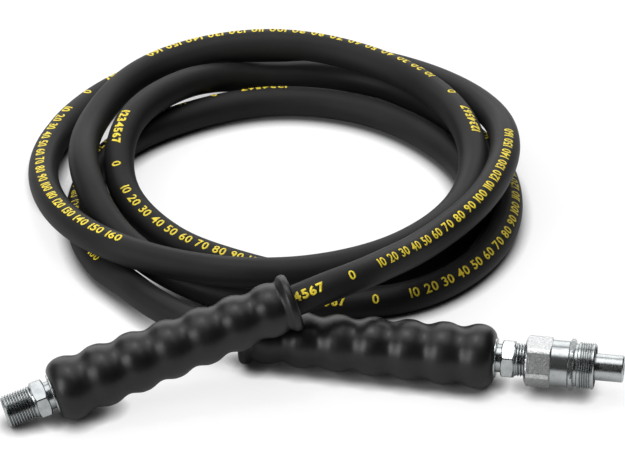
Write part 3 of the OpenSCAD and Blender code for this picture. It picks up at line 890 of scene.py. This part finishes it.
def part_skinned():
    """Plated steel, turned bright except on the hexagon's flats, which are dull and pitted."""
    finish, shader = new_finish("zinc_part_skinned", metallic=1.0, roughness=0.25, specular=0.5)
    place = add_node(finish, "ShaderNodeTexCoord").outputs["Object"]
    along_x = add_node(finish, "ShaderNodeSeparateXYZ", Vector=place).outputs["X"]
    skin = between(finish, along_x, flats_from, flats_to, flats_fade)
    pits = grain(finish, scale=1100, detail=4)
    marks = grain(finish, scale=1800, detail=2, stretch=(1, 0.02, 0.02))
    cloud = spread(finish, grain(finish, scale=260, detail=4), 0, 1)
    bright = two_tone(finish, cloud, zinc_dark, zinc_light)
    dull = two_tone(finish, spread(finish, pits, 0, 1), skin_dark, skin_light)
    colour = two_tone(finish, skin, bright, dull)
    dullness = spread(finish, skin, low=0.24, high=0.36, start=0, end=1)
    paint(finish, shader, colour, dullness)
    pitted = worked(finish, "MULTIPLY", pits, skin)
    rounded = add_node(finish, "ShaderNodeBevel", Radius=edge_soft).outputs["Normal"]
    raise_grain(finish, shader, [(pitted, pit_depth), (marks, zinc_mark_depth)], rounded)
    return finish


dress("coupler_body", part_skinned())

# ---------------------------------------------------------------------------------------
# Probe and valve. The hardened probe holds a coned poppet, pressed on its seat by a spring
# that stands on a pierced seat, and a rubber ring seals the probe in the body.
# ---------------------------------------------------------------------------------------
steel_dark, steel_light = (0.33, 0.335, 0.34), (0.43, 0.435, 0.44)
seal_dark, seal_light = (0.008, 0.008, 0.009), (0.016, 0.016, 0.018)


def seal_rubber():
    """Glossy black rubber of a seal ring."""
    finish, shader = new_finish("seal_rubber", metallic=0.0, roughness=0.3, specular=0.5)
    fine = grain(finish, scale=1800, detail=2)
    paint(
        finish, shader,
        two_tone(finish, spread(finish, fine, 0, 1), seal_dark, seal_light),
        spread(finish, fine, low=0.25, high=0.35),
    )
    return finish


valve_finish = plated("valve_steel", steel_dark, steel_light, low=0.18, high=0.28, edge=edge_soft)
dress("nose_tube", zinc_turned)
dress("nose_seal", seal_rubber())
for node in ("spring_seat", "poppet"):
    dress(node, valve_finish)

spring_from, spring_to = 0.0336, 0.0578
spring_d, spring_wire, spring_turns, spring_end_gap = 0.0086, 0.0008, 9, 0.0001
spring_steps, spring_sides = 28, 12


def valve_spring_mesh(name):
    """Round wire wound in an open helix between the seat's flange and the poppet's head."""
    coil_r, wire_r = (spring_d - spring_wire) / 2, spring_wire / 2
    low = right_face.x + spring_from + wire_r + spring_end_gap
    high = right_face.x + spring_to - wire_r - spring_end_gap
    rings, sides = spring_turns * spring_steps, spring_sides
    points = []
    for i in range(rings + 1):
        angle = 2 * math.pi * spring_turns * i / rings
        out = Vector((0, math.cos(angle), math.sin(angle)))
        place = low + (high - low) * i / rings
        centre = Vector((place, right_face.y, right_face.z)) + coil_r * out
        for k in range(sides):
            turn = 2 * math.pi * k / sides
            around = math.cos(turn) * out + Vector((math.sin(turn), 0, 0))
            points.append(centre + wire_r * around)
    faces = [
        (a + k, a + sides + k, a + sides + (k + 1) % sides, a + (k + 1) % sides)
        for a in range(0, rings * sides, sides)
        for k in range(sides)
    ]
    faces.append(tuple(range(sides)))
    faces.append(tuple(reversed(range(rings * sides, (rings + 1) * sides))))
    return add_mesh(name, points, faces)


spring = valve_spring_mesh("wound_spring")
spring.data.materials.append(valve_finish)
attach(spring, "hose")
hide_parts("valve_spring")
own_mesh(spring)

# ---------------------------------------------------------------------------------------
# Lock collar. A thin hexagon flange and a threaded barrel in one piece, zinc plated. It
# turns freely on the body's spigot, and a snap ring keeps it on.
# ---------------------------------------------------------------------------------------
collar_at, collar_end = 0.0378, 0.0509
flange_af, flange_corner_d, flange_len, flange_chamfer = 0.0245, 0.0263, 0.0028, 0.0006
collar_turn = 36
collar_r, collar_bore_r, counterbore_r, collar_shoulder = 0.0118, 0.00885, 0.0104, 0.0469
relief_r, relief_len, land_len = 0.0109, 0.0014, 0.0010
collar_pitch, collar_depth, collar_run_out = 0.00115, 0.00062, 0.0008
barrel_at = collar_at + flange_len
winding_from = barrel_at + relief_len + land_len
band_len, band_from, band_r, band_chamfer = 0.0019, 0.0006, 0.0117, 0.0006
groove_r, groove_len = 0.0112, 0.0004
winding_to = collar_end - band_len
flange_overlap, relief_slope, turned_overlap = 0.0003, 0.0005, 0.0001


def collar_thread_depth(x):
    """Depth of the collar's thread, which runs out towards the flange."""
    return collar_depth * min(1.0, max(0.0, (x - winding_from) / collar_run_out))


collar = hexagon(
    collar_at, flange_len, flange_af, flange_corner_d, flange_chamfer, collar_turn, collar_bore_r
)
join(collar, turned([
    (barrel_at - flange_overlap, collar_bore_r), (barrel_at - flange_overlap, relief_r),
    (barrel_at + relief_len, relief_r), (barrel_at + relief_len + relief_slope, collar_r),
    (winding_from + turned_overlap, collar_r), (winding_from + turned_overlap, collar_bore_r),
]))
join(collar, threaded(
    winding_from, winding_to, lambda x: collar_r, collar_pitch, collar_thread_depth,
    [
        (winding_to, counterbore_r), (collar_shoulder, counterbore_r),
        (collar_shoulder, collar_bore_r), (winding_from, collar_bore_r),
    ],
))
join(collar, turned([
    (winding_to - turned_overlap, counterbore_r), (winding_to - turned_overlap, groove_r),
    (winding_to + groove_len, groove_r), (winding_to + band_from, band_r),
    (collar_end - band_chamfer, band_r), (collar_end, band_r - band_chamfer),
    (collar_end, counterbore_r),
]))
lock_collar = add_shape("threaded_lock_collar", collar, end_places["right"])
lock_collar.data.materials.append(zinc_threaded)
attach(lock_collar, "collar")
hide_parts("lock_collar")
dress("snap_ring", valve_finish)

# ---------------------------------------------------------------------------------------
# Studio. A white paper floor between a broad overhead panel and an upright one at the back,
# with a small lamp above and a tall softbox at the front left. The room in front is dim.
# ---------------------------------------------------------------------------------------
floor_size = 12.0
floor_colour = (0.24, 0.24, 0.24)
# Painted shadow on the floor: its glow fades where ambient occlusion finds the object near,
# within these reaches.
floor_glow, contact_reach, shade_reach = 0.78, 0.010, 0.050
contact_covered, contact_clear = 0.35, 0.88
gap_covered, gap_clear = 0.05, 0.26
shade_covered, shade_clear = 0.25, 0.95
room_dark, room_pale = 0.36, 1.0
room_turn_from, room_turn_to = 0.4, 0.75
lamps_aim = (0, 0.05, 0)
camera_place = (0.3334, -2.1601, 1.6353)
camera_target = (-0.0232, 0.1479, 0.0)
camera_lens = 311.04


def paper():
    """White paper for the camera and in reflections, with painted shadow: its glow is darker
    where the object covers it closely, in the depth between two turns of hose, and more widely
    where reflections look."""
    finish, shader = new_finish("paper", metallic=0.0, roughness=0.9, specular=0.0)
    shader.inputs["Base Color"].default_value = (*floor_colour, 1)
    rays = add_node(finish, "ShaderNodeLightPath")
    close = add_node(finish, "ShaderNodeAmbientOcclusion", Distance=contact_reach).outputs["AO"]
    wide = add_node(finish, "ShaderNodeAmbientOcclusion", Distance=shade_reach).outputs["AO"]
    # Painted shadow: the glow seen by the camera and in reflections is dimmed by ambient
    # occlusion.
    shadowed_glow_to_camera = worked(
        finish, "MULTIPLY",
        spread(finish, close, 0, floor_glow, contact_covered, contact_clear),
        spread(finish, wide, 0, 1, gap_covered, gap_clear),
    )
    shadowed_glow_in_gloss = spread(finish, wide, 0, floor_glow, shade_covered, shade_clear)
    glow = worked(finish, "MULTIPLY", rays.outputs["Is Camera Ray"], shadowed_glow_to_camera)
    for kind in ("Is Glossy Ray", "Is Transmission Ray"):
        glow = worked(
            finish, "ADD", glow, worked(finish, "MULTIPLY", rays.outputs[kind], shadowed_glow_in_gloss)
        )
    shader.inputs["Emission Color"].default_value = (1, 1, 1, 1)
    finish.node_tree.links.new(glow, shader.inputs["Emission Strength"])
    return finish


half = floor_size / 2
floor_corners = [(-half, -half, 0), (half, -half, 0), (half, half, 0), (-half, half, 0)]
floor = add_mesh("floor", floor_corners, [(0, 1, 2, 3)])
floor.data.materials.append(paper())

world = bpy.data.worlds.new("room")
world.use_nodes = True
bpy.context.scene.world = world
background = world.node_tree.nodes["Background"]
look = world.node_tree.nodes.new("ShaderNodeTexCoord")
parts = world.node_tree.nodes.new("ShaderNodeSeparateXYZ")
world.node_tree.links.new(look.outputs["Generated"], parts.inputs[0])
towards_back = world.node_tree.nodes.new("ShaderNodeMapRange")
world.node_tree.links.new(parts.outputs["Y"], towards_back.inputs["Value"])
for name, number in (
    ("From Min", room_turn_from), ("From Max", room_turn_to),
    ("To Min", room_dark), ("To Max", room_pale),
):
    towards_back.inputs[name].default_value = number
world.node_tree.links.new(towards_back.outputs["Result"], background.inputs["Strength"])


def lamp_panel(name, place, width, length, brightness):
    """Rectangular lamp that faces the object. Its power follows from its brightness."""
    lamp = bpy.data.lights.new(name, "AREA")
    lamp.shape = "RECTANGLE"
    lamp.size, lamp.size_y = width, length
    lamp.energy = brightness * math.pi * width * length
    panel = bpy.data.objects.new(name, lamp)
    panel.location = place
    towards_hose = Vector(lamps_aim) - panel.location
    panel.rotation_euler = towards_hose.to_track_quat("-Z", "Y").to_euler()
    bpy.context.scene.collection.objects.link(panel)
    return panel


overhead = lamp_panel(
    "overhead_panel", (-0.40, 0.30, 1.6), width=2.40, length=1.46, brightness=2.2
)
overhead.rotation_euler = (0, 0, 0)
back_panel = lamp_panel(
    "back_panel", (-0.40, 1.50, 0.85), width=2.00, length=1.50, brightness=2.2
)
back_panel.rotation_euler = (math.radians(90), 0, math.radians(180))
lamp_panel("small_lamp", (-0.20, 0.26, 1.55), width=0.16, length=0.16, brightness=36.0)
lamp_panel("front_softbox", (-1.20, -1.33, 0.92), width=0.85, length=1.45, brightness=7.2)

camera_data = bpy.data.cameras.new("camera")
camera_data.sensor_width = 36
camera_data.lens = camera_lens
camera = bpy.data.objects.new("camera", camera_data)
camera.location = camera_place
aim = Vector(camera_target) - Vector(camera_place)
camera.rotation_euler = aim.to_track_quat("-Z", "Y").to_euler()
bpy.context.scene.collection.objects.link(camera)
bpy.context.scene.camera = camera
bpy.context.scene.view_settings.view_transform = "Standard"
